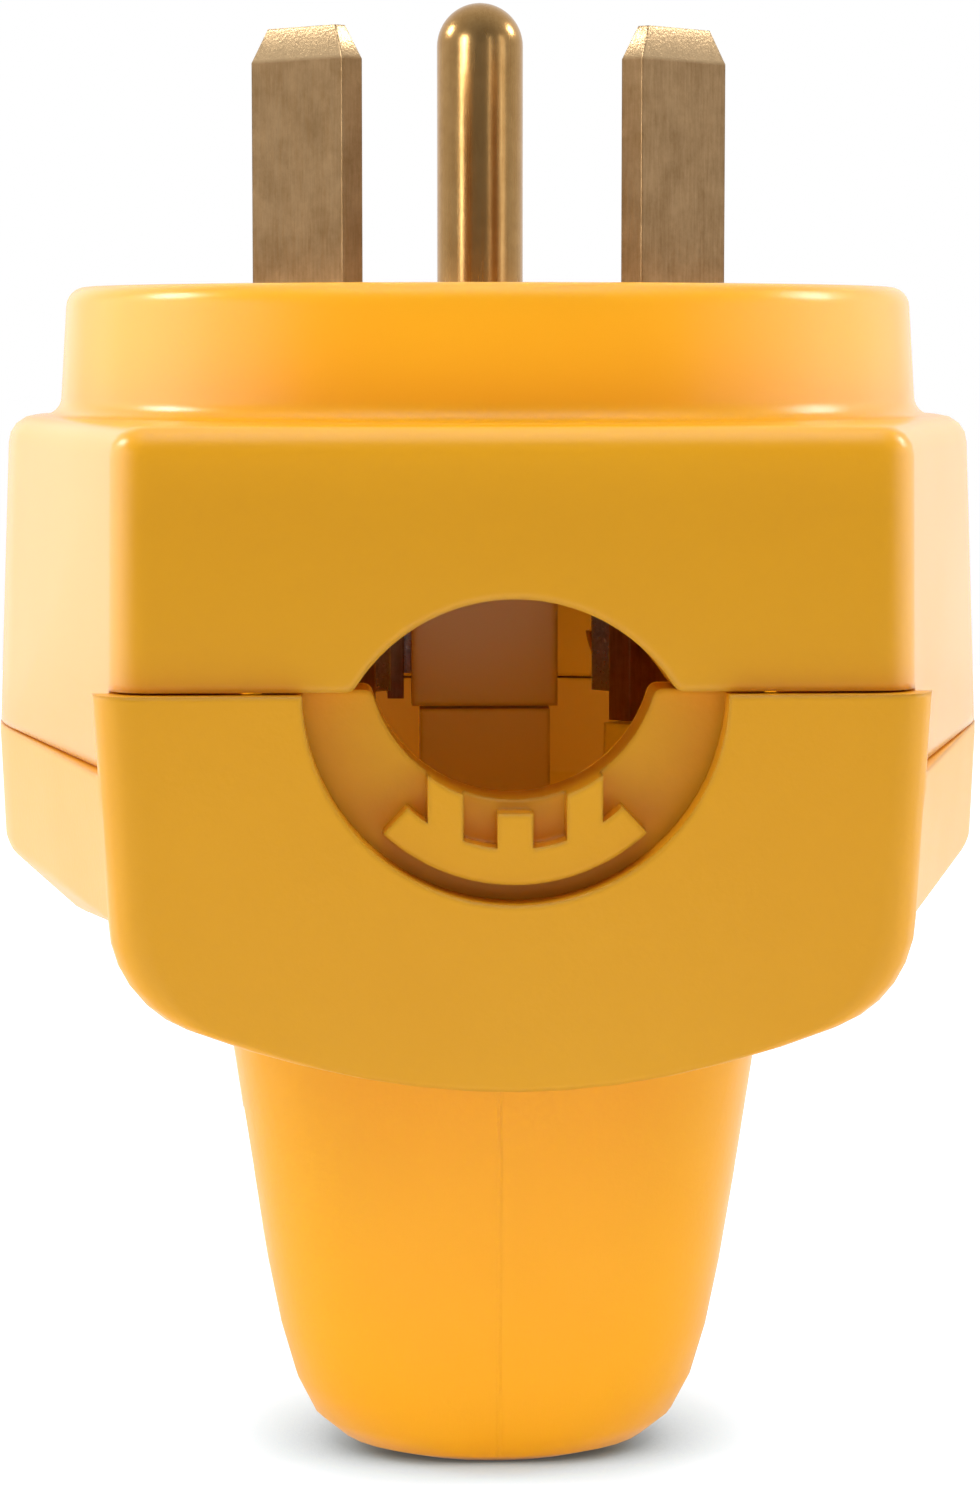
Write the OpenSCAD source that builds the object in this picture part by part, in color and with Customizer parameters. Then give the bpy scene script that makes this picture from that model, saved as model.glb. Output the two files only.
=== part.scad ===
// Right-angle travel-trailer power plug: two moulded halves, two canted blades and a round ground pin.
// All sizes in mm. Origin at the centre of the prong face, +Z along the prongs, -Y towards the cord.

/* [Prongs] */
// Distance between the centres of the two blades
blade_spacing = 25.5; // [23:0.1:28]
// Width of a blade
blade_w = 8.9; // [7:0.1:9.6]
// Thickness of a blade and of its terminal end
blade_t = 1.9; // [1.5:0.05:2.2]
// Length of a blade beyond the prong face
blade_len = 17.8; // [14:0.1:22]
// Angle of each blade to the line through both
blade_cant = 45; // [40:1:50]
// Distance of the blades' line from the face centre, towards the cord
blade_set = 4.6; // [3.5:0.1:6]
// Height of the bevelled blade tip
tip_h = 2.3; // [1:0.1:3]
// Diameter of the ground pin
pin_d = 6.35; // [4.8:0.05:7]
// Length of the ground pin beyond the prong face
pin_len = 21; // [17:0.1:25]
// Distance of the ground pin from the face centre, away from the cord
pin_set = 13.7; // [12.5:0.1:15]

/* [Prong face] */
// Diameter of the round prong face at its root
face_d = 60.2; // [57:0.2:61]
// Amount by which the face narrows on each side towards the prongs
face_draft = 0.4; // [0.2:0.1:1]
// Height of the prong face above the shoulder
face_h = 8.9; // [7:0.1:10.5]
// Radius of the face's outer edge
face_edge_r = 1.4; // [0.6:0.1:2]
// Radius of the hollow at the foot of the face
face_root_r = 1.3; // [0.6:0.1:1.5]
// Thickness of the plate that the prongs come through
face_plate = 3.8; // [3:0.1:5]

/* [Body] */
// Width of the round body at the parting line
body_d = 69.2; // [68:0.2:74]
// Depth of the parting line below the prong face
parting_depth = 30.2; // [28:0.1:32]
// Height by which the lower half rises at the cord end
bib_rise = 5; // [3.5:0.1:5.5]
// Depth of the belly's lowest point below the prong face
belly_depth = 49.9; // [48:0.1:53]
// Distance of the cord face from the centre of the prong face
cord_reach = 41.5; // [40.5:0.1:45]
// Width of the cord face at the top of the lower half
cord_face_w = 52; // [50:0.2:55]
// Amount by which the upper half stands back from the lower half's cord face
cord_step = 1; // [0.4:0.1:1.4]
// Side draft of each half, from the parting line to its far edge
side_draft = 0.85; // [0.3:0.05:1.2]
// Draft of the round upper half, from the parting line to its shoulder
crown_draft = 0.8; // [0.3:0.05:1]
// Radius of the shoulder edge
shoulder_r = 1.9; // [0.8:0.1:2.2]
// Radius of the upright edges at the cord face
cord_edge_r = 2.8; // [1.5:0.1:3.2]
// Radius of the corners between the sides and the belly
belly_corner_r = 7.2; // [4:0.2:8]
// Rise of the belly's curve from its middle to its corners
belly_sag = 6.2; // [5:0.1:7.5]
// Height of the round body's side below the parting line
wing_h = 8.7; // [7:0.1:9.5]
// Slope of the round body's underside towards the belly
wing_angle = 43; // [35:1:50]
// Radius of the round body's lower edge
wing_corner_r = 2; // [1:0.1:3]
// Wall thickness of both halves
wall = 2.6; // [2:0.1:3]

/* [Cord opening] */
// Height of the opening's upper arc above the cord parting line
lens_rise = 5.7; // [4.5:0.1:7]
// Half width of the opening's upper arc
lens_half_w = 10; // [9:0.1:11]
// Depth of the opening's lower arc below the cord parting line
cradle_drop = 6.9; // [5.5:0.1:7.5]
// Half width of the opening's lower arc
cradle_half_w = 8.8; // [8:0.1:9.4]
// Radius of the corners where the opening meets the cord parting line
lip_r = 0.8; // [0.4:0.1:1.2]
// Radius of the half-round recess in the lower cord face
recess_r = 13.1; // [12.6:0.1:13.6]
// Depth of the recess
recess_depth = 3; // [2.4:0.1:3.4]
// Thickness of the clamp behind the recess
clamp_t = 5; // [4:0.2:6]
// Outer radius of the toothed arc
tooth_arc_r = 11.9; // [11.4:0.1:12.2]
// Radial width of the toothed arc
tooth_arc_w = 2.2; // [1.6:0.1:2.3]
// Half angle of the toothed arc
tooth_arc_span = 43; // [38:1:48]
// Width of a tooth
tooth_w = 2.2; // [1.6:0.1:2.6]
// Distance between teeth
tooth_pitch = 4.3; // [4:0.1:4.8]

/* [Handle] */
// Depth of the handle's foot below the belly
handle_depth = 30.4; // [28:0.2:36]
// Half width of the handle where it leaves the belly
handle_half_w = 20.1; // [17:0.2:20.6]
// Half width that the handle would taper to at its foot if the foot were not round
handle_foot_half_w = 14; // [13:0.2:15]
// Height of the handle's rounded foot
foot_h = 12.5; // [10:0.5:14]
// Width of the flat under the foot
foot_flat_w = 18.6; // [14:0.2:20]
// Distance of the handle's front from the face centre, towards the cord
handle_front = 20.4; // [18:0.2:23]
// Distance of the handle's back from the face centre
handle_back = 30.6; // [29:0.2:31.4]
// Lean of the handle's front and back over its height
handle_lean = 1.6; // [0.5:0.1:3]
// Length of the finger opening
loop_len = 29.5; // [26:0.5:32]
// Height of the finger opening
loop_h = 19.5; // [17:0.5:21]
// Corner radius of the finger opening
loop_r = 8; // [5:0.5:8.5]
// Size of the eased rim of the finger opening
loop_rim = 2.4; // [1:0.1:3]

/* [Terminals] */
// Depth at which the prongs bear on the face's bosses
seat_depth = 9; // [8:0.1:10]
// Width of the blades' terminal ends
tail_w = 11.2; // [10.4:0.1:12]
// Depth of the terminal screws below the prong face
terminal_depth = 23.4; // [22:0.1:25]
// Thickness of the ground strip
strip_t = 1.2; // [0.8:0.1:1.6]
// Width of the ground strip
strip_w = 9; // [8:0.1:10]
// Distance of the ground strip's upright from the pin
strip_off = 6.4; // [6:0.1:7.5]
// Diameter of the terminal screws
terminal_screw_d = 4.8; // [4:0.1:5]
// Head diameter of the terminal screws
terminal_head_d = 8.6; // [7.6:0.1:9]
// Head height of the terminal screws
terminal_head_h = 2.6; // [2:0.1:2.8]
// Length of the terminal screws under the head
terminal_screw_len = 8; // [6.5:0.5:9]
// Side of a pressure plate
plate_w = 9.4; // [8.8:0.1:10]
// Thickness of a pressure plate
plate_t = 1.4; // [1:0.1:1.6]

/* [Housing screws] */
// Diameter of the housing screws
screw_d = 3.6; // [3:0.1:4]
// Length of the housing screws under the head
screw_len = 22; // [18:0.5:26]
// Head diameter of the housing screws
screw_head_d = 7.2; // [6.4:0.1:7.6]
// Head height of the housing screws
screw_head_h = 2.6; // [2:0.1:3]
// Thickness of plastic under the housing screws' heads
screw_grip = 8; // [7:0.1:9]
// Wall of the lower screw posts round the screw heads' cups
post_wall = 1.4; // [1:0.1:1.5]
// Half distance between the front screws
front_screw_x = 20; // [19.6:0.1:20.4]
// Distance of the front screws from the face centre, towards the cord
front_screw_set = 30; // [28:0.1:31]
// Distance of the rear screws from the face centre
rear_screw_r = 28; // [27:0.1:28.4]
// Angle of the rear screws from the width direction
rear_screw_angle = 35; // [28:1:36]

/* [Fits] */
// Gap between the walls of the two halves
parting_gap = 0.15; // [0.1:0.05:0.4]
// Clearance on each side of a blade in its slot
blade_clear = 0.1; // [0.05:0.01:0.2]
// Clearance on the radius of the pin in its hole
pin_clear = 0.08; // [0.05:0.01:0.15]
// Clearance of the clamp in its seat
clamp_clear = 0.2; // [0.15:0.05:0.3]
// Clearance on the radius of the screws in their threads
thread_clear = 0.05; // [0.03:0.01:0.1]
// Clearance on the radius of the housing screws in the lower half
screw_clear = 0.35; // [0.25:0.05:0.5]

/* [Hidden] */
$fn = 64;
eps = 0.02;
face_r = face_d / 2;
body_r = body_d / 2;
crown_r = body_r - crown_draft;
wing_z = -parting_depth;
bib_z = wing_z + bib_rise;
cord_y = -cord_reach;
cord_half_w = cord_face_w / 2;
upper_y = cord_y + cord_step;
upper_half_w = cord_half_w - side_draft;
bib_t = recess_depth;
bib_back = cord_y + bib_t;
upper_wall = bib_back - upper_y;
lens_r = (lens_half_w * lens_half_w + lens_rise * lens_rise) / (2 * lens_rise);
lens_z = bib_z + lens_rise - lens_r;
cradle_r = (cradle_half_w * cradle_half_w + cradle_drop * cradle_drop) / (2 * cradle_drop);
cradle_z = bib_z - cradle_drop + cradle_r;
clamp_r = recess_r + 2.5;
clamp_y = bib_back + clamp_clear;
clamp_top = bib_z;
wing_low = wing_z - wing_h;
wing_draft = side_draft / 3;
wing_floor = min(-belly_depth + belly_sag + 0.8, wing_low - 1.5);
handle_top = wing_low + 0.6;
handle_h = handle_top + belly_depth + handle_depth;
handle_slope = atan((handle_half_w - handle_foot_half_w) / handle_h);
foot_power = 2.4 * handle_h / foot_h;
foot_end = pow(1 - pow(foot_flat_w / (2 * handle_foot_half_w), foot_power), 1 / foot_power);
cut_reach = 2 * body_d;
handle_mid = (handle_back - handle_front) / 2;
loop_top = -belly_depth - 1.2;
loop_mid = loop_top - loop_h / 2;
tail_z = wing_z + 0.2;
barrier_y = pin_set - strip_w / 2 - 2.6;
rivet_d = 4.6;
collar_d = pin_d + 3.8;
collar_h = 2;
shank_d = pin_d + 0.8;
strip_z = -seat_depth - collar_h;
head_z = wing_z - screw_grip;
boss_r = screw_d / 2 + 2.9;
cup_r = screw_head_d / 2 + 0.5;
front_spots = [[-front_screw_x, -front_screw_set], [front_screw_x, -front_screw_set]];
rear_x = rear_screw_r * cos(rear_screw_angle);
rear_y = rear_screw_r * sin(rear_screw_angle);
screw_spots = concat(front_spots, [[-rear_x, rear_y], [rear_x, rear_y]]);

// Points along an arc, from angle a to angle b
function arc(x, y, r, a, b, n) = [
    for (i = [0:n]) let (t = a + (b - a) * i / n) [x + r * cos(t), y + r * sin(t)]];

// Half section of the round body below the parting line: side, eased edge and sloping underside
function wing_lift(inset) = inset * (1 - sin(wing_angle)) / cos(wing_angle);
function wing_edge(inset) = max(wing_corner_r - inset, 0.4);
function wing_half(inset, top) = concat(
    [[0, top], [body_r - inset, top], [body_r - inset, wing_z - 1]],
    arc(body_r - wing_draft - inset - wing_edge(inset),
        wing_low + wing_lift(inset) + wing_edge(inset) * tan(45 - wing_angle / 2),
        wing_edge(inset), 0, wing_angle - 90, 4),
    [[body_r - wing_draft - inset - (wing_low - wing_floor + wing_lift(inset) - inset) / tan(wing_angle),
      wing_floor + inset], [0, wing_floor + inset]]);

// Half section of the belly behind the cord face: drafted side, round corner and curve
function belly_r(w) = (w * w + belly_sag * belly_sag) / (2 * belly_sag);
function corner_x(w) = w - side_draft - belly_corner_r;
function corner_z(w) = -belly_depth + belly_r(w)
    - sqrt(pow(belly_r(w) - belly_corner_r, 2) - pow(corner_x(w), 2));
function turn(w) = -acos(corner_x(w) / (belly_r(w) - belly_corner_r));
function belly_half(w, inset, top) = concat(
    [[0, top], [w - inset, top]],
    arc(corner_x(w), corner_z(w), belly_corner_r - inset, 0, turn(w), 6),
    arc(0, -belly_depth + belly_r(w), belly_r(w) - inset, turn(w), -90, 6));

module belly_slice(w, inset, top, y) {
  translate([0, y + eps, 0]) rotate([90, 0, 0]) linear_extrude(eps) union() {
    polygon(belly_half(w, inset, top));
    mirror([1, 0]) polygon(belly_half(w, inset, top));
  }
}

// Round body with flanks that run forward to just inside the cord face's upright edges
module flank_form(inset, top) {
  edge = max(cord_edge_r - inset, 0.5);
  tuck = 0.25;
  hull() {
    rotate_extrude($fn = 72) polygon(wing_half(inset, top));
    for (s = [-1, 1]) {
      translate([s * (cord_half_w - inset - edge - tuck), cord_y + inset + edge + tuck, top - 1])
        cylinder(r = edge, h = 1, $fn = 32);
      translate([s * (cord_half_w - side_draft - inset - edge - tuck), cord_y + inset + edge + tuck,
                 wing_low - 0.6 + wing_lift(inset)])
        cylinder(r = edge, h = 1, $fn = 32);
    }
  }
}

// Deeper belly between the flanks, from the cord face to a round back
module belly_form(inset, top) {
  edge = max(cord_edge_r - inset, 0.5);
  hull() {
    rotate_extrude($fn = 72) polygon(belly_half(cord_half_w, inset, top));
    for (a = [0:22.5:90])
      belly_slice(cord_half_w - edge * (1 - cos(a)), inset, top, cord_y + inset + edge * (1 - sin(a)));
  }
}

// Lower half's outer form: flanks up to the parting line, and the belly with the bib in front
module lower_outside() {
  flank_form(0, wing_z - parting_gap - eps);
  difference() {
    belly_form(0, bib_z - parting_gap);
    translate([-cut_reach / 2, bib_back, wing_z - parting_gap]) cube(cut_reach);
  }
}

// Room inside the lower half, open at the top
module lower_room() {
  flank_form(wall, bib_z + 1);
  belly_form(wall, bib_z + 2);
}

module upper_slice(r, w, y, edge, z) {
  translate([0, 0, z]) cylinder(r = r, h = eps, $fn = 72);
  for (s = [-1, 1])
    translate([s * (w - edge), y + edge, z]) cylinder(r = edge, h = eps, $fn = 32);
}

// Upper half's outer form, or its inner one when inset is the wall
module upper_form(inset, front) {
  edge = max(cord_edge_r - inset, 0.6);
  round = max(shoulder_r - inset, 0.3);
  top = -face_h - inset;
  hull() {
    upper_slice(body_r - inset, upper_half_w - inset, upper_y + front, edge, wing_z - 1);
    for (a = [0:22.5:90])
      upper_slice(crown_r - inset - round * (1 - cos(a)),
                  upper_half_w - side_draft / 4 - inset - round * (1 - cos(a)),
                  upper_y + side_draft / 2 + front + round * (1 - cos(a)),
                  max(edge - round * (1 - cos(a)), 0.4), top - eps - round * (1 - sin(a)));
  }
}

// Raised round prong face with its root hollow and eased edge
module face_boss() {
  top_r = face_r - face_draft;
  rotate_extrude($fn = 96) polygon(concat(
    [[0, -face_h - 1], [face_r + face_root_r, -face_h - 1]],
    arc(face_r + face_root_r, -face_h + face_root_r, face_root_r, 270, 180, 6),
    arc(top_r - face_edge_r, -face_edge_r, face_edge_r, 0, 90, 6),
    [[0, 0]]));
}

module at_blade(side) {
  translate([side * blade_spacing / 2, -blade_set, 0]) rotate([0, 0, side * blade_cant]) children();
}

module block(x, y, z0, z1) {
  translate([-x / 2, -y / 2, z0]) cube([x, y, z1 - z0]);
}

// Everything above the parting surface, with the step over the bib
module above_parting() {
  translate([-cut_reach / 2, bib_back + parting_gap, wing_z]) cube(cut_reach);
  translate([-cut_reach / 2, -cut_reach / 2, bib_z]) cube(cut_reach);
}

module cord_prism(r, z, y, depth) {
  translate([0, y + depth, z]) rotate([90, 0, 0]) cylinder(r = r, h = depth);
}

// Cord opening whose corners are eased where its arc meets a flat; side is 1 above the flat, -1 below
module eased_opening(r, z, flat, side, ease, y, depth) {
  ease_z = flat + side * ease;
  out = sqrt(pow(r + ease, 2) - pow(ease_z - z, 2));
  cord_prism(r, z, y, depth);
  for (m = [0, 1])
    mirror([m, 0, 0]) translate([0, y + depth, 0]) rotate([90, 0, 0]) linear_extrude(depth) polygon(concat(
      [[out - 2 * ease, flat - side], [out, flat - side]],
      arc(out, ease_z, ease, -90 * side, atan2(z - ease_z, -out), 6)));
}

module upper_shell() {
  intersection() {
    difference() {
      union() {
        upper_form(0, 0);
        face_boss();
      }
      upper_form(wall, upper_wall);
      translate([0, 0, -face_h - wall - 1])
        cylinder(r = face_r - face_draft - wall, h = face_h + wall + 1 - face_plate);
    }
    above_parting();
  }
}

// Seats for the prongs, the barrier in front of the ground strip, the screw posts and the upper cord grip
module upper_inside() {
  for (s = [-1, 1])
    at_blade(s) block(tail_w + 2, blade_t + 4.6, -seat_depth, -face_plate + 0.5);
  translate([0, pin_set, -seat_depth]) cylinder(d = collar_d + 2, h = seat_depth - face_plate + 0.5);
  translate([0, barrier_y, 0]) block(10.6, 3, wing_z, -face_plate + 0.5);
  for (p = screw_spots)
    translate([p[0], p[1], wing_z]) cylinder(r = boss_r, h = parting_depth - face_h - wall / 2);
  difference() {
    translate([0, clamp_y + clamp_t / 2, 0])
      block(2 * lens_half_w + 6, clamp_t, clamp_top + clamp_clear, -face_h - wall / 2);
    cord_prism(lens_r, lens_z, clamp_y - 1, clamp_t + 2);
  }
}

module front_housing() {
  color("#E0A024") difference() {
    union() {
      upper_shell();
      upper_inside();
    }
    for (s = [-1, 1])
      at_blade(s) block(blade_w + 2 * blade_clear, blade_t + 2 * blade_clear, -seat_depth - 1, 1);
    translate([0, pin_set, -seat_depth - 1]) cylinder(d = shank_d + 2 * pin_clear, h = seat_depth + 2);
    for (p = screw_spots)
      translate([p[0], p[1], wing_z - 1])
        cylinder(r = screw_d / 2 + thread_clear, h = screw_len - screw_grip + 2.5);
    eased_opening(lens_r, lens_z, bib_z, 1, lip_r, cord_y - 1, recess_depth + 2);
  }
}

module loop_profile(grow) {
  w = loop_len + 2 * grow;
  h = loop_h + 2 * grow;
  r = loop_r + grow;
  square([w - 2 * r, h], center = true);
  square([w, h - 2 * r], center = true);
  for (sx = [-1, 1])
    for (sy = [-1, 1])
      translate([sx * (w / 2 - r), sy * (h / 2 - r)]) circle(r = r);
}

// Half width of the handle at a fraction of its height, before and after the rounding of its foot
function handle_taper(u) = handle_half_w + (handle_foot_half_w - handle_half_w) * u;
function handle_w(u) = handle_taper(u) * pow(1 - pow(foot_end * u, foot_power), 1 / foot_power);

// Eased rim of the finger opening on one side, leaning with the handle's side
module loop_flare(side) {
  mid_x = handle_w((handle_top - loop_mid) / handle_h);
  translate([side * mid_x, handle_mid, loop_mid]) rotate([0, side * -handle_slope, 0])
    rotate([90, 0, side * 90]) hull() {
      translate([0, 0, -loop_rim]) linear_extrude(eps) loop_profile(0);
      translate([0, 0, -loop_rim * 0.5]) linear_extrude(eps) loop_profile(loop_rim * 0.14);
      translate([0, 0, 0]) linear_extrude(loop_rim / 2) loop_profile(loop_rim);
    }
}

module handle_level(w, front, back, z) {
  r = min(9, w - 0.3);
  for (sx = [-1, 1]) {
    translate([sx * (w - r), -front + r, z]) cylinder(r = r, h = eps, $fn = 32);
    translate([sx * (w - r), back - r, z]) cylinder(r = r, h = eps, $fn = 32);
  }
}

module handle() {
  difference() {
    hull() {
      for (i = [0:9])
        let (u = 1 - pow(1 - i / 9, 2), shift = handle_lean * u + (handle_taper(u) - handle_w(u)) / 2)
          handle_level(handle_w(u), handle_front - shift, handle_back - shift, handle_top - handle_h * u);
    }
    translate([-cut_reach / 2, handle_mid, loop_mid]) rotate([90, 0, 90])
      linear_extrude(cut_reach) loop_profile(0);
    loop_flare(-1);
    loop_flare(1);
  }
}

// Saddle for the clamp, posts under the blade tails and barrier, and the lower screw posts
module lower_inside() {
  difference() {
    translate([-clamp_r - 2.5, cord_y + wall - 0.3, -belly_depth])
      cube([2 * clamp_r + 5, clamp_y + clamp_t - cord_y - wall + 0.3, belly_depth + wing_z - parting_gap]);
    cord_prism(clamp_r + clamp_clear, bib_z, cord_y - 1, clamp_t + recess_depth + 3);
  }
  for (s = [-1, 1])
    at_blade(s) block(tail_w - 2, 4.6, -belly_depth, tail_z);
  translate([0, barrier_y, 0]) block(9.4, 4.6, -belly_depth, wing_z);
  for (p = screw_spots)
    translate([p[0], p[1], -belly_depth]) cylinder(r = cup_r + post_wall, h = belly_depth - parting_depth);
}

module handle_housing() {
  color("#DE9C20") difference() {
    union() {
      lower_outside();
      handle();
    }
    difference() {
      lower_room();
      lower_inside();
    }
    cord_prism(recess_r, bib_z, cord_y - 1, wall + 2);
    for (p = screw_spots) {
      translate([p[0], p[1], head_z - 40]) cylinder(r = cup_r, h = 40);
      translate([p[0], p[1], head_z - 1]) cylinder(r = screw_d / 2 + screw_clear, h = screw_grip + 2);
    }
  }
}

// Flat blade with bevelled tip, shoulders under the face and a tapped terminal end
module blade() {
  difference() {
    intersection() {
      translate([0, blade_t / 2, 0]) rotate([90, 0, 0]) linear_extrude(blade_t) polygon([
        [-tail_w / 2, tail_z], [tail_w / 2, tail_z], [tail_w / 2, -seat_depth], [blade_w / 2, -seat_depth],
        [blade_w / 2, blade_len - tip_h], [blade_w / 2 - tip_h / 2, blade_len],
        [-blade_w / 2 + tip_h / 2, blade_len], [-blade_w / 2, blade_len - tip_h],
        [-blade_w / 2, -seat_depth], [-tail_w / 2, -seat_depth]]);
      translate([-tail_w, 0, 0]) rotate([90, 0, 90]) linear_extrude(2 * tail_w) polygon([
        [-blade_t / 2, tail_z], [blade_t / 2, tail_z], [blade_t / 2, blade_len - tip_h],
        [blade_t * 0.24, blade_len], [-blade_t * 0.24, blade_len], [-blade_t / 2, blade_len - tip_h]]);
    }
    translate([0, blade_t, -terminal_depth]) rotate([90, 0, 0])
      cylinder(r = terminal_screw_d / 2 + thread_clear, h = 2 * blade_t);
  }
}

// Pan-head screw with a slot, head up, its seat at zero
module terminal_screw() {
  r = terminal_head_d / 2;
  difference() {
    rotate_extrude() polygon(concat(
      [[0, 0], [r, 0], [r, terminal_head_h * 0.55]],
      arc(r - terminal_head_h * 0.45, terminal_head_h * 0.55, terminal_head_h * 0.45, 15, 90, 5),
      [[0, terminal_head_h]]));
    translate([0, 0, terminal_head_h]) cube([terminal_head_d + 2, 1.3, 2.4], center = true);
  }
  translate([0, 0, 0.5 - terminal_screw_len]) cylinder(d = terminal_screw_d, h = terminal_screw_len);
  translate([0, 0, -terminal_screw_len]) cylinder(d1 = terminal_screw_d - 1, d2 = terminal_screw_d, h = 0.5);
}

// Square wire plate with a turned-down lip, its underside at zero
module pressure_plate() {
  difference() {
    union() {
      block(plate_w, plate_w, 0, plate_t);
      translate([-plate_w / 2 + plate_t / 2, 0, 0]) block(plate_t, plate_w, plate_t / 2, plate_t + 1);
      translate([plate_w / 2 - plate_t / 2, 0, 0]) block(plate_t, plate_w, plate_t / 2, plate_t + 1);
    }
    translate([0, 0, -1]) cylinder(r = terminal_screw_d / 2 + 0.25, h = plate_t + 3);
    translate([0, 0, plate_t]) cylinder(r = terminal_head_d / 2 + 0.2, h = 3);
  }
}

// Places a screw or plate on a blade's inner side
module on_blade(side, lift) {
  at_blade(side) translate([0, blade_t / 2 + lift, -terminal_depth]) rotate([-90, 0, 0]) children();
}

module on_strip(lift) {
  translate([-strip_off + strip_t / 2 + lift, pin_set, -terminal_depth]) rotate([0, 90, 0]) children();
}

module line_blade() {
  color("#9C7C4A") at_blade(1) blade();
}

module neutral_blade() {
  color("#9C7C4A") at_blade(-1) blade();
}

// Turned pin: domed end, root in the face, collar under its boss, peened tail
module ground_pin() {
  r = pin_d / 2;
  color("#C79A45") translate([0, pin_set, 0]) rotate_extrude($fn = 96) union() {
    square([r, pin_len - r]);
    intersection() {
      translate([0, pin_len - r]) circle(r = r);
      translate([0, pin_len - r - 1]) square([r, r + 1]);
    }
    translate([0, -seat_depth]) square([shank_d / 2, seat_depth]);
    translate([0, strip_z]) square([collar_d / 2, collar_h]);
    translate([0, strip_z - strip_t]) square([rivet_d / 2, strip_t]);
    polygon([[0, strip_z - strip_t - 1.2], [rivet_d / 2, strip_z - strip_t - 1.2],
             [rivet_d / 2 + 1.2, strip_z - strip_t - 0.5], [rivet_d / 2 + 1.2, strip_z - strip_t],
             [0, strip_z - strip_t]]);
  }
}

module ground_terminal() {
  reach = strip_off + strip_t / 2;
  color("#B08A4C") translate([0, pin_set, 0]) difference() {
    union() {
      translate([-reach, -strip_w / 2, strip_z - strip_t]) cube([reach + strip_w / 2, strip_w, strip_t]);
      translate([-reach, -strip_w / 2, tail_z]) cube([strip_t, strip_w, strip_z - tail_z]);
    }
    translate([0, 0, strip_z - strip_t - 1]) cylinder(r = rivet_d / 2, h = strip_t + 2);
    translate([-reach - 1, 0, -terminal_depth]) rotate([0, 90, 0])
      cylinder(r = terminal_screw_d / 2 + thread_clear, h = strip_t + 2);
  }
}

module line_terminal_screw() {
  color("#B8923E") on_blade(1, plate_t) terminal_screw();
}

module neutral_terminal_screw() {
  color("#B9BBBC") on_blade(-1, plate_t) terminal_screw();
}

module ground_terminal_screw() {
  color("#2E6B3A") on_strip(plate_t) terminal_screw();
}

module line_pressure_plate() {
  color("#A9ABAC") on_blade(1, 0) pressure_plate();
}

module neutral_pressure_plate() {
  color("#A9ABAC") on_blade(-1, 0) pressure_plate();
}

module ground_pressure_plate() {
  color("#A9ABAC") on_strip(0) pressure_plate();
}

module arc_sector(r, span) {
  polygon(concat([[0, 0]], arc(0, 0, r * 1.3, -90 - span, -90 + span, 6)));
}

// Toothed arc and its teeth, seen from the cord side
module tooth_outline() {
  inner = tooth_arc_r - tooth_arc_w;
  difference() {
    intersection() {
      circle(r = tooth_arc_r);
      arc_sector(tooth_arc_r, tooth_arc_span);
    }
    circle(r = inner);
  }
  for (i = [-1, 1])
    translate([i * tooth_pitch - tooth_w / 2, -inner - 0.3]) square([tooth_w, inner - cradle_drop + 4]);
  translate([-tooth_w / 2, -inner - 0.6]) square([tooth_w, inner - cradle_drop]);
}

module cord_clamp() {
  color("#D99A20") difference() {
    union() {
      translate([0, clamp_y + clamp_t, bib_z]) rotate([90, 0, 0]) linear_extrude(clamp_t) intersection() {
        circle(r = clamp_r);
        translate([-clamp_r, -clamp_r]) square([2 * clamp_r, clamp_r + clamp_top - bib_z]);
      }
      translate([0, clamp_y + 0.5, bib_z]) rotate([90, 0, 0])
        linear_extrude(recess_depth - 0.1) tooth_outline();
    }
    eased_opening(cradle_r, cradle_z, clamp_top, -1, lip_r * 0.8, cord_y - 1, clamp_t + recess_depth + 3);
  }
}

// Pan-head thread-forming screw with a cross recess, head down
module housing_screw() {
  r = screw_head_d / 2;
  difference() {
    rotate_extrude() polygon(concat(
      [[0, 0], [0, -screw_head_h]],
      arc(r - screw_head_h * 0.6, -screw_head_h * 0.4, screw_head_h * 0.6, -90, -10, 5),
      [[r, 0]]));
    for (a = [0, 90])
      rotate([0, 0, a]) translate([0, 0, -screw_head_h]) cube([4, 0.9, 3], center = true);
  }
  translate([0, 0, -0.5]) cylinder(d = screw_d, h = screw_len - 1.5);
  translate([0, 0, screw_len - 2]) cylinder(d1 = screw_d, d2 = screw_d - 1.6, h = 2);
}

module housing_screws() {
  color("#A6A8A9") for (p = screw_spots)
    translate([p[0], p[1], head_z]) housing_screw();
}

front_housing();
handle_housing();
line_blade();
neutral_blade();
ground_pin();
ground_terminal();
line_terminal_screw();
neutral_terminal_screw();
ground_terminal_screw();
line_pressure_plate();
neutral_pressure_plate();
ground_pressure_plate();
cord_clamp();
housing_screws();
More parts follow.
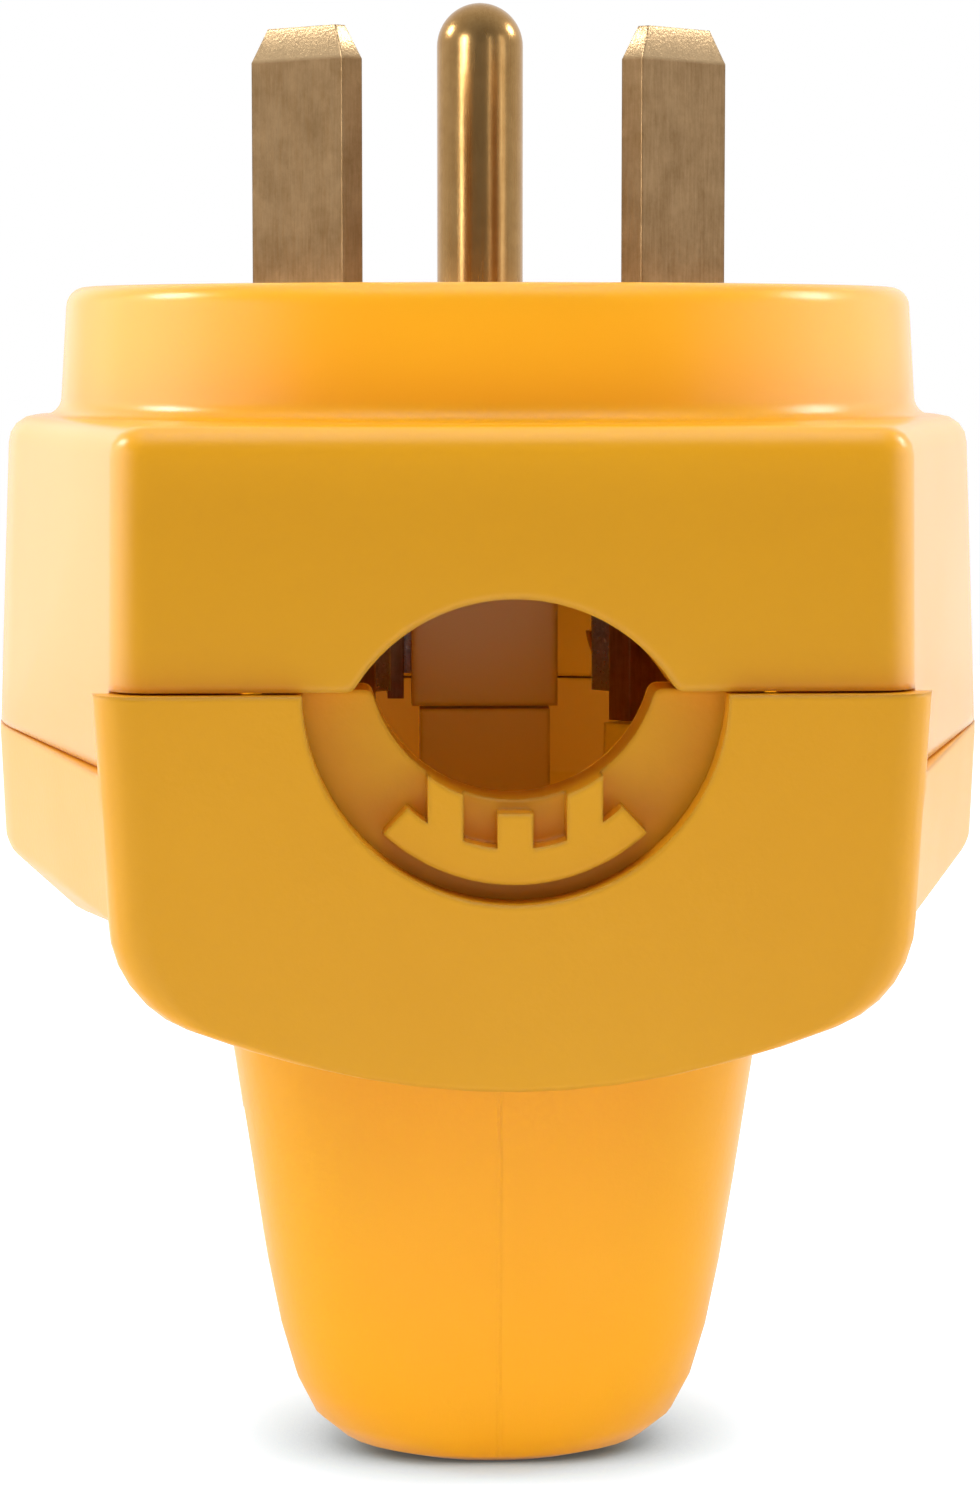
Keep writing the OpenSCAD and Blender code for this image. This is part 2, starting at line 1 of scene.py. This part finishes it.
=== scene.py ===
import math
import bmesh
import bpy
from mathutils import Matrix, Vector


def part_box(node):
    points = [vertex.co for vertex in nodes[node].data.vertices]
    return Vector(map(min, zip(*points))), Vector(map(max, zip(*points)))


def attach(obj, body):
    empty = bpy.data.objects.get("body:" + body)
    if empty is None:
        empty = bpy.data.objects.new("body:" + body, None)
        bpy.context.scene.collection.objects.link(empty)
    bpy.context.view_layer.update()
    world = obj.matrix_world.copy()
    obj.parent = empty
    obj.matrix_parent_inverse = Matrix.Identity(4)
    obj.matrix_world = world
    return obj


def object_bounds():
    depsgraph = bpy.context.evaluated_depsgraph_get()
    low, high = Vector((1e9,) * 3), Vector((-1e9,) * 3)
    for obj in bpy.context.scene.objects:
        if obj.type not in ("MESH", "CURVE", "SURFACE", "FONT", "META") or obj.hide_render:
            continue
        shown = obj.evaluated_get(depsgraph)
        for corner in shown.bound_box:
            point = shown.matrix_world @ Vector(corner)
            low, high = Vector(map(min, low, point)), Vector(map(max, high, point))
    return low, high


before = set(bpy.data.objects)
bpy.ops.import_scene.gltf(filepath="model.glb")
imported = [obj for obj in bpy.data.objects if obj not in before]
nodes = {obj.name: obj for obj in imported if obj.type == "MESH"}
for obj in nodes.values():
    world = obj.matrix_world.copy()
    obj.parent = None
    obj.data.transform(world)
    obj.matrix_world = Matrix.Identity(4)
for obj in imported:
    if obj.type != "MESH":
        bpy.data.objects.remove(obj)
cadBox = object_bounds()
mm = 0.001
print("frame loaded:", len(nodes), "nodes")


def srgb(hexText):  # hex as seen on screen, to linear
    parts = [int(hexText[i:i + 2], 16) / 255 for i in (1, 3, 5)]
    linear = [c / 12.92 if c <= 0.04045 else ((c + 0.055) / 1.055) ** 2.4 for c in parts]
    return (*linear, 1.0)


def addNode(mat, kind, links=None, values=None, **settings):
    node = mat.node_tree.nodes.new(kind)
    for key, value in settings.items():
        setattr(node, key, value)
    for socket, value in (values or {}).items():
        node.inputs[socket].default_value = value
    for socket, source in (links or {}).items():
        mat.node_tree.links.new(source, node.inputs[socket])
    return node


def newMaterial(name):
    mat = bpy.data.materials.new(name)
    mat.use_nodes = True
    mat.node_tree.nodes.clear()
    return mat


def closeMaterial(mat, shader):
    addNode(mat, "ShaderNodeOutputMaterial", {"Surface": shader.outputs[0]})
    return mat


def perMm(size):  # texture scale for a pattern of this size in mm, on coordinates in metres
    return 1 / (size * mm)


# moulded ABS: a satin skin with a slight flow mottle, the upper half polished so it shows soft highlights,
# the lower one with the fine grain of a spark-eroded tool, and the tool's split line down the handle
plasticLook = {"color": "#EEAA17", "mottle": "#E9A212", "mottleMm": 16, "grainMm": 0.45, "grainDeep": 0.05,
               "duller": 0.05, "shinier": 0.03,
               "splitWide": 0.2, "splitTop": -50.2, "splitFade": 0.5, "splitHigh": 0.06}
upperLook = {"grain": 0.05, "roughness": 0.22, "edgeMm": 0.7, "gloss": 0.5, "split": False}
lowerLook = {"grain": 0.28, "roughness": 0.34, "edgeMm": 0.55, "gloss": 0.34, "split": True}


def mouldedPlastic(name, look):
    mat = newMaterial(name)
    where = addNode(mat, "ShaderNodeTexCoord").outputs["Object"]
    flow = addNode(mat, "ShaderNodeTexNoise", {"Vector": where},
                   {"Scale": perMm(plasticLook["mottleMm"]), "Detail": 3.0, "Roughness": 0.5})
    tint = addNode(mat, "ShaderNodeMix", {"Factor": flow.outputs["Fac"]},
                   {"A": srgb(plasticLook["color"]), "B": srgb(plasticLook["mottle"])}, data_type="RGBA")
    peel = addNode(mat, "ShaderNodeTexNoise", {"Vector": where},
                   {"Scale": perMm(plasticLook["grainMm"]), "Detail": 2.0, "Roughness": 0.6})
    eased = addNode(mat, "ShaderNodeBevel", values={"Radius": look["edgeMm"] * mm}, samples=4)
    bump = addNode(mat, "ShaderNodeBump", {"Height": peel.outputs["Fac"], "Normal": eased.outputs[0]},
                   {"Strength": look["grain"], "Distance": plasticLook["grainDeep"] * mm})
    if look["split"]:
        bump = splitLine(mat, where, bump)
    sheen = addNode(mat, "ShaderNodeMapRange", {"Value": flow.outputs["Fac"]},
                    {"To Min": look["roughness"] - plasticLook["shinier"],
                     "To Max": look["roughness"] + plasticLook["duller"]})
    shader = addNode(mat, "ShaderNodeBsdfPrincipled",
                     {"Base Color": tint.outputs["Result"], "Roughness": sheen.outputs[0],
                      "Normal": bump.outputs[0]},
                     {"IOR": 1.5, "Specular IOR Level": look["gloss"]})
    return closeMaterial(mat, shader)


def splitLine(mat, where, bump):  # a low ridge along the middle, below the belly only
    splitTop = plasticLook["splitTop"]
    axes = addNode(mat, "ShaderNodeSeparateXYZ", {0: where})
    off = addNode(mat, "ShaderNodeMath", {0: axes.outputs["X"]}, operation="ABSOLUTE")
    ridge = addNode(mat, "ShaderNodeMapRange", {"Value": off.outputs[0]},
                    {"From Min": 0.0, "From Max": plasticLook["splitWide"] * mm,
                     "To Min": 1.0, "To Max": 0.0})
    below = addNode(mat, "ShaderNodeMapRange", {"Value": axes.outputs["Z"]},
                    {"From Min": splitTop * mm, "From Max": (splitTop - plasticLook["splitFade"]) * mm})
    line = addNode(mat, "ShaderNodeMath", {0: ridge.outputs[0], 1: below.outputs[0]}, operation="MULTIPLY")
    return addNode(mat, "ShaderNodeBump", {"Height": line.outputs[0], "Normal": bump.outputs[0]},
                   {"Strength": 1.0, "Distance": plasticLook["splitHigh"] * mm})


# grain along the metal and cloudy tarnish; the grain is drawn coarser than real so it shows
metalLook = {"cloudMm": 2.4, "grainShare": 0.4, "stainFrom": 0.4, "stainTo": 0.62, "stainMost": 0.8,
             "roughSpan": 0.12, "edgeMm": 0.25, "grainDeep": 0.03}
# stamped brass strip: rolled grain along the blade, brown tarnish, and the tip, above a set height, drawn
# in a lighter colour and pitted
bladeLook = {"color": "#B29067", "tarnish": "#8A6A43", "roughness": 0.34, "grainMm": 0.3, "stretch": 0.1,
             "depth": 0.3,
             "bright": "#CBAC82", "tipFrom": 15.4, "tipTo": 15.7,
             "pitMm": 0.22, "pitDeep": 0.06, "pits": 0.4}
# turned brass: smooth enough to show its surroundings as bands
pinLook = {"color": "#C39A62", "tarnish": "#AB814A", "roughness": 0.24, "grainMm": 0.2, "stretch": 0.02,
           "depth": 0.05}
# zinc-plated steel: cool grey with a dull cloud
screwLook = {"color": "#C9CBCB", "tarnish": "#9FA2A3", "roughness": 0.3, "grainMm": 0.3, "stretch": 1.0,
             "depth": 0.3}
# dyed plating on steel: the green of a ground screw, metallic under the dye
greenLook = {"color": "#2F7A45", "tarnish": "#245F37", "roughness": 0.34, "grainMm": 0.3, "stretch": 1.0,
             "depth": 0.3}


def wornMetal(name, look):
    mat = newMaterial(name)
    where = addNode(mat, "ShaderNodeTexCoord").outputs["Object"]
    along = addNode(mat, "ShaderNodeMapping", {"Vector": where}, {"Scale": (1.0, 1.0, look["stretch"])})
    grain = addNode(mat, "ShaderNodeTexNoise", {"Vector": along.outputs[0]},
                    {"Scale": perMm(look["grainMm"]), "Detail": 4.0, "Roughness": 0.6})
    cloud = addNode(mat, "ShaderNodeTexNoise", {"Vector": where},
                    {"Scale": perMm(metalLook["cloudMm"]), "Detail": 8.0, "Roughness": 0.72})
    smudge = addNode(mat, "ShaderNodeMix", {"A": cloud.outputs["Fac"], "B": grain.outputs["Fac"]},
                     {"Factor": metalLook["grainShare"]})
    stain = addNode(mat, "ShaderNodeMapRange", {"Value": smudge.outputs["Result"]},
                    {"From Min": metalLook["stainFrom"], "From Max": metalLook["stainTo"],
                     "To Min": 0.0, "To Max": metalLook["stainMost"]})
    tint = addNode(mat, "ShaderNodeMix", {"Factor": stain.outputs[0]},
                   {"A": srgb(look["color"]), "B": srgb(look["tarnish"])}, data_type="RGBA")
    rough = addNode(mat, "ShaderNodeMapRange", {"Value": grain.outputs["Fac"]},
                    {"To Min": look["roughness"] - metalLook["roughSpan"],
                     "To Max": look["roughness"] + metalLook["roughSpan"]})
    eased = addNode(mat, "ShaderNodeBevel", values={"Radius": metalLook["edgeMm"] * mm}, samples=4)
    bump = addNode(mat, "ShaderNodeBump", {"Height": grain.outputs["Fac"], "Normal": eased.outputs[0]},
                   {"Strength": look["depth"], "Distance": metalLook["grainDeep"] * mm})
    # the tip above a set height is drawn in a lighter colour, and pitted
    if "bright" in look:
        height = addNode(mat, "ShaderNodeSeparateXYZ", {0: where}).outputs["Z"]
        tip = addNode(mat, "ShaderNodeMapRange", {"Value": height},
                      {"From Min": look["tipFrom"] * mm, "From Max": look["tipTo"] * mm})
        tint = addNode(mat, "ShaderNodeMix", {"Factor": tip.outputs[0], "A": tint.outputs["Result"]},
                       {"B": srgb(look["bright"])}, data_type="RGBA")
        pits = addNode(mat, "ShaderNodeTexNoise", {"Vector": where},
                       {"Scale": perMm(look["pitMm"]), "Detail": 3.0})
        pitted = addNode(mat, "ShaderNodeMath", {0: pits.outputs["Fac"], 1: tip.outputs[0]},
                         operation="MULTIPLY")
        bump = addNode(mat, "ShaderNodeBump", {"Height": pitted.outputs[0], "Normal": bump.outputs[0]},
                       {"Strength": look["pits"], "Distance": look["pitDeep"] * mm})
    shader = addNode(mat, "ShaderNodeBsdfPrincipled",
                     {"Base Color": tint.outputs["Result"], "Roughness": rough.outputs[0],
                      "Normal": bump.outputs[0]},
                     {"Metallic": 1.0})
    return closeMaterial(mat, shader)


upperPlastic = mouldedPlastic("yellowAbsPolished", upperLook)
lowerPlastic = mouldedPlastic("yellowAbsFineGrain", lowerLook)
bladeBrass = wornMetal("stampedBrass", bladeLook)
pinBrass = wornMetal("turnedBrass", pinLook)
zincSteel = wornMetal("zincPlatedSteel", screwLook)
greenSteel = wornMetal("greenDyedSteel", greenLook)
print("materials made")

finishes = {
    "front_housing": upperPlastic,
    "handle_housing": lowerPlastic,
    "cord_clamp": lowerPlastic,
    "line_blade": bladeBrass,
    "neutral_blade": bladeBrass,
    "ground_pin": pinBrass,
    "ground_terminal": bladeBrass,
    "line_terminal_screw": pinBrass,
    "neutral_terminal_screw": zincSteel,
    "ground_terminal_screw": greenSteel,
    "line_pressure_plate": zincSteel,
    "neutral_pressure_plate": zincSteel,
    "ground_pressure_plate": zincSteel,
    "housing_screws": zincSteel,
}
dressing = {"weldMm": 0.002, "flatDegrees": 0.4, "sharpDegrees": 32}


# welds the loose triangles, clears flat faces and parts the shading at sharp edges, all as live modifiers
def dressNode(name, mat):
    obj = nodes[name]
    obj.data.materials.clear()
    obj.data.materials.append(mat)
    obj.data.shade_smooth()
    weld = obj.modifiers.new("weld", "WELD")
    weld.merge_threshold = dressing["weldMm"] * mm
    flat = obj.modifiers.new("flat", "DECIMATE")
    flat.decimate_type = "DISSOLVE"
    flat.angle_limit = math.radians(dressing["flatDegrees"])
    part = obj.modifiers.new("part", "EDGE_SPLIT")
    part.split_angle = math.radians(dressing["sharpDegrees"])
    even = obj.modifiers.new("even", "WEIGHTED_NORMAL")
    even.keep_sharp = False


for name, mat in finishes.items():
    dressNode(name, mat)
print("nodes dressed")

# tongue inside the walls where the two halves meet, so no light shows through the joint
tongueLook = {"inset": 0.7, "thick": 1.0, "drop": 0.4, "tall": 0.65, "steps": 180,
              "flankFrom": -7.7, "flankIn": 8.06, "flankAlong": -28.45}


def makeTongue(look):
    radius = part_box("handle_housing")[1].x - look["inset"] * mm
    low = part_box("front_housing")[0].z - look["drop"] * mm
    bpy.ops.object.select_all(action="DESELECT")
    bpy.ops.mesh.primitive_circle_add(vertices=look["steps"], radius=radius, location=(0, 0, low))
    tongue = bpy.context.object
    tongue.name = "jointTongue"
    bpy.ops.object.transform_apply(location=True, rotation=True, scale=True)
    bpy.ops.object.mode_set(mode="EDIT")
    ring = bmesh.from_edit_mesh(tongue.data)
    for vert in ring.verts:
        vert.select_set(vert.co.y < look["flankFrom"] * mm)
    ring.select_flush_mode()
    bpy.ops.mesh.delete(type="VERT")
    for side in (-1, 1):  # straight runs from the ends of the arc towards the cord block
        ring = bmesh.from_edit_mesh(tongue.data)
        ends = [vert for vert in ring.verts if len(vert.link_edges) == 1 and vert.co.x * side > 0]
        bpy.ops.mesh.select_all(action="DESELECT")
        ends[0].select_set(True)
        ring.select_flush_mode()
        reach = (-side * look["flankIn"] * mm, look["flankAlong"] * mm, 0)
        bpy.ops.mesh.extrude_region_move(TRANSFORM_OT_translate={"value": reach})
    bpy.ops.mesh.select_all(action="SELECT")
    bpy.ops.mesh.extrude_region_move(TRANSFORM_OT_translate={"value": (0, 0, look["tall"] * mm)})
    bpy.ops.mesh.select_all(action="SELECT")
    bpy.ops.mesh.normals_make_consistent(inside=False)
    bpy.ops.object.mode_set(mode="OBJECT")
    wall = tongue.modifiers.new("wall", "SOLIDIFY")
    wall.thickness = look["thick"] * mm
    wall.offset = 0
    bpy.ops.object.modifier_apply(modifier="wall")
    tongue.data.materials.append(lowerPlastic)
    return tongue


tongue = makeTongue(tongueLook)
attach(tongue, "root")
print("tongue made:", len(tongue.data.polygons), "faces")

# floor: white to the eye with a grey contact shadow at the front, a plain pale floor to the light that it
# sends back up, and clear from below, to see the underside
floorLook = {"below": 0.05, "size": 1300, "color": "#EEF1F6", "eyeColor": "#7C95AA", "eyeWhite": 0.96,
             "glossLift": 0.3, "contactMm": 12, "contactFrom": 0.2, "contactTo": 0.8, "contactDark": 0.05,
             "shadowBack": 8, "shadowFront": -14}


def makeFloor(look):
    bpy.ops.object.select_all(action="DESELECT")
    low = cadBox[0][2] - look["below"] * mm
    bpy.ops.mesh.primitive_plane_add(size=look["size"] * mm, location=(0, 0, low))
    floor = bpy.context.object
    floor.name = "floor"
    mat = newMaterial("whiteFloor")
    seen = addNode(mat, "ShaderNodeLightPath")
    eye = addNode(mat, "ShaderNodeMath",
                  {0: seen.outputs["Is Camera Ray"], 1: seen.outputs["Is Transmission Ray"]},
                  operation="MAXIMUM")
    near = addNode(mat, "ShaderNodeAmbientOcclusion", values={"Distance": look["contactMm"] * mm},
                   samples=8)
    contact = addNode(mat, "ShaderNodeMapRange", {"Value": near.outputs["AO"]},
                      {"From Min": look["contactFrom"], "From Max": look["contactTo"],
                       "To Min": look["contactDark"], "To Max": look["eyeWhite"]})
    where = addNode(mat, "ShaderNodeTexCoord").outputs["Object"]
    axes = addNode(mat, "ShaderNodeSeparateXYZ", {0: where})
    ahead = addNode(mat, "ShaderNodeMapRange", {"Value": axes.outputs["Y"]},
                    {"From Min": look["shadowBack"] * mm, "From Max": look["shadowFront"] * mm})
    grounded = addNode(mat, "ShaderNodeMix", {"Factor": ahead.outputs[0], "B": contact.outputs[0]},
                       {"A": look["eyeWhite"]})
    gloss = addNode(mat, "ShaderNodeMath", {0: seen.outputs["Is Glossy Ray"]}, {1: look["glossLift"]},
                    operation="MULTIPLY")
    level = addNode(mat, "ShaderNodeMix",
                    {"Factor": eye.outputs[0], "A": gloss.outputs[0], "B": grounded.outputs["Result"]})
    # the eye's colour is cool, so the warm bounce on it comes out grey
    shade = addNode(mat, "ShaderNodeMix", {"Factor": eye.outputs[0]},
                    {"A": srgb(look["color"]), "B": srgb(look["eyeColor"])}, data_type="RGBA")
    paint = addNode(mat, "ShaderNodeBsdfDiffuse", {"Color": shade.outputs["Result"]})
    lift = addNode(mat, "ShaderNodeEmission", {"Strength": level.outputs["Result"]},
                   {"Color": (1, 1, 1, 1)})
    top = addNode(mat, "ShaderNodeAddShader", {0: paint.outputs[0], 1: lift.outputs[0]})
    under = addNode(mat, "ShaderNodeNewGeometry").outputs["Backfacing"]
    clear = addNode(mat, "ShaderNodeBsdfTransparent")
    both = addNode(mat, "ShaderNodeMixShader", {0: under, 1: top.outputs[0], 2: clear.outputs[0]})
    floor.data.materials.append(closeMaterial(mat, both))
    return floor


floor = makeFloor(floorLook)
print("floor made")

# sky: white to the eye; to reflections and to soft light it fades towards the camera's side
skyLook = {"frontGloss": 0.24, "glossFrom": -0.9, "frontFill": 0.21, "backFill": 0.58, "fillFrom": -0.8,
           "fillTo": 0.3}


def makeSky(look):
    world = bpy.data.worlds.new("studioWhite")
    world.use_nodes = True
    world.node_tree.nodes.clear()
    ray = addNode(world, "ShaderNodeLightPath")
    where = addNode(world, "ShaderNodeTexCoord").outputs["Generated"]
    toward = addNode(world, "ShaderNodeSeparateXYZ", {0: where})
    gloss = addNode(world, "ShaderNodeMapRange", {"Value": toward.outputs["Y"]},
                    {"From Min": look["glossFrom"], "From Max": 1.0,
                     "To Min": look["frontGloss"], "To Max": 1.0})
    fill = addNode(world, "ShaderNodeMapRange", {"Value": toward.outputs["Y"]},
                   {"From Min": look["fillFrom"], "From Max": look["fillTo"],
                    "To Min": look["frontFill"], "To Max": look["backFill"]})
    unseen = addNode(world, "ShaderNodeMix",
                     {"Factor": ray.outputs["Is Glossy Ray"], "A": fill.outputs[0], "B": gloss.outputs[0]})
    eye = addNode(world, "ShaderNodeMath",
                  {0: ray.outputs["Is Camera Ray"], 1: ray.outputs["Is Transmission Ray"]},
                  operation="MAXIMUM")
    level = addNode(world, "ShaderNodeMix", {"Factor": eye.outputs[0], "A": unseen.outputs["Result"]},
                    {"B": 1.0})
    sky = addNode(world, "ShaderNodeBackground", {"Strength": level.outputs["Result"]},
                  {"Color": (1, 1, 1, 1)})
    addNode(world, "ShaderNodeOutputWorld", {"Surface": sky.outputs[0]})
    return world


bpy.context.scene.world = makeSky(skyLook)

prongs = [nodes[name] for name in ("line_blade", "neutral_blade", "ground_pin")]
mouldings = [nodes[name] for name in ("front_housing", "handle_housing", "cord_clamp")]
mouldingsOnFloor = mouldings + [floor]
glowColor = "#FFEEC8"

# places and sizes in mm
lamps = {
    # two compact boxes at the sides
    "leftBox": {"place": (-581, 154, 349), "aim": (0, 0, -10), "size": (150, 150), "watts": 1.5},
    "rightBox": {"place": (581, 154, 349), "aim": (0, 0, -10), "size": (150, 150), "watts": 1.4},
    # weak strips that only the prongs show, as bands
    "leftStrip": {"place": (-366, -341, 70), "aim": (0, 0, 0), "size": (140, 320), "watts": 1.5,
                  "on": prongs},
    "rightStrip": {"place": (437, -242, 70), "aim": (0, 0, 0), "size": (150, 320), "watts": 0.17,
                   "on": prongs},
    "thinStrip": {"place": (211, -453, 70), "aim": (0, 0, 0), "size": (30, 320), "watts": 0.08,
                  "on": prongs},
    # broad fills for the mouldings: behind for the pale flanks, wide ones at the sides that fade out at
    # their edges, and overhead, where one box is for soft light and one for highlights
    "leftFlank": {"place": (-270, 330, 130), "aim": (0, 0, -25), "size": (380, 420), "watts": 0.2,
                  "on": mouldingsOnFloor},
    "rightFlank": {"place": (270, 330, 130), "aim": (0, 0, -25), "size": (380, 420), "watts": 0.09,
                   "on": mouldingsOnFloor},
    "leftWide": {"place": (-548, 40, 50), "aim": (0, 0, -10), "size": (1100, 340), "watts": 0.62,
                 "spread": 90, "on": mouldingsOnFloor},
    "rightWide": {"place": (548, 40, 50), "aim": (0, 0, -10), "size": (1100, 340), "watts": 0.44,
                  "spread": 90, "on": mouldingsOnFloor},
    "topFill": {"place": (0, -60, 450), "aim": (0, -20, 0), "size": (500, 400), "watts": 1.7,
                "on": mouldingsOnFloor, "glossy": False},
    "topGloss": {"place": (0, -60, 450), "aim": (0, -20, 0), "size": (500, 400), "watts": 3.2,
                 "on": mouldingsOnFloor, "diffuse": False},
    # bounce card in front, and narrow fills for the handle and the disc, which stand back from the block
    "bounceCard": {"place": (0, -200, -79.5), "aim": (0, -199.9, 0), "size": (600, 300), "watts": 0.1,
                   "on": mouldings, "glossy": False},
    "lowFill": {"place": (0, -500, -76), "aim": (0, 0, -76), "size": (170, 10), "watts": 0.0088,
                "spread": 7, "on": mouldings, "glossy": False},
    "discFill": {"place": (0, -500, -3), "aim": (0, 0, -3), "size": (120, 4), "watts": 0.0018,
                 "spread": 2.5, "on": mouldings, "glossy": False},
    # stand in for the light that the real walls let through to the wiring space
    "mouthGlow": {"place": (0, -33.5, -25), "aim": (0, 40, -25), "size": (42, 12), "watts": 0.0052,
                  "on": mouldings, "glossy": False, "color": glowColor},
    "backGlow": {"place": (0, 8, -27), "aim": (0, 40, -27), "size": (40, 14), "watts": 0.0032,
                 "on": mouldings, "glossy": False, "color": glowColor},
}


def softbox(name, plan):
    light = bpy.data.lights.new(name, "AREA")
    light.shape = "RECTANGLE"
    light.size = plan["size"][0] * mm
    light.size_y = plan["size"][1] * mm
    light.energy = plan["watts"]
    if "spread" in plan:
        light.spread = math.radians(plan["spread"])
    if "color" in plan:
        light.color = srgb(plan["color"])[:3]
    lamp = bpy.data.objects.new(name, light)
    bpy.context.scene.collection.objects.link(lamp)
    lamp.location = [c * mm for c in plan["place"]]
    run = [a - p for a, p in zip(plan["aim"], plan["place"])]
    flatRun = math.hypot(run[0], run[1])
    lamp.rotation_euler = (math.atan2(flatRun, -run[2]), 0, math.atan2(-run[0], run[1]))
    lamp.visible_camera = False
    lamp.visible_glossy = plan.get("glossy", True)
    lamp.visible_diffuse = plan.get("diffuse", True)
    if "on" in plan:  # lights these pieces only
        group = bpy.data.collections.new(name + "Pieces")
        for piece in plan["on"]:
            group.objects.link(piece)
        lamp.light_linking.receiver_collection = group


for name, plan in lamps.items():
    softbox(name, plan)
print("lamps set:", len(lamps))

view = {"away": 285, "turn": 2.4, "height": -3.7, "down": 5.85, "lens": 96, "sensor": 36, "shift": 0.0015,
        "nearest": 5}
lens = bpy.data.cameras.new("frontCamera")
lens.lens = view["lens"]
lens.sensor_width = view["sensor"]
lens.shift_x = view["shift"]
lens.clip_start = view["nearest"] * mm
camera = bpy.data.objects.new("frontCamera", lens)
bpy.context.scene.collection.objects.link(camera)
turn = math.radians(view["turn"])
away = view["away"] * mm
camera.location = (-away * math.sin(turn), -away * math.cos(turn), view["height"] * mm)
camera.rotation_euler = (math.radians(90 - view["down"]), 0, -turn)
bpy.context.scene.camera = camera
bpy.context.scene.view_settings.view_transform = "Standard"
print("camera set")
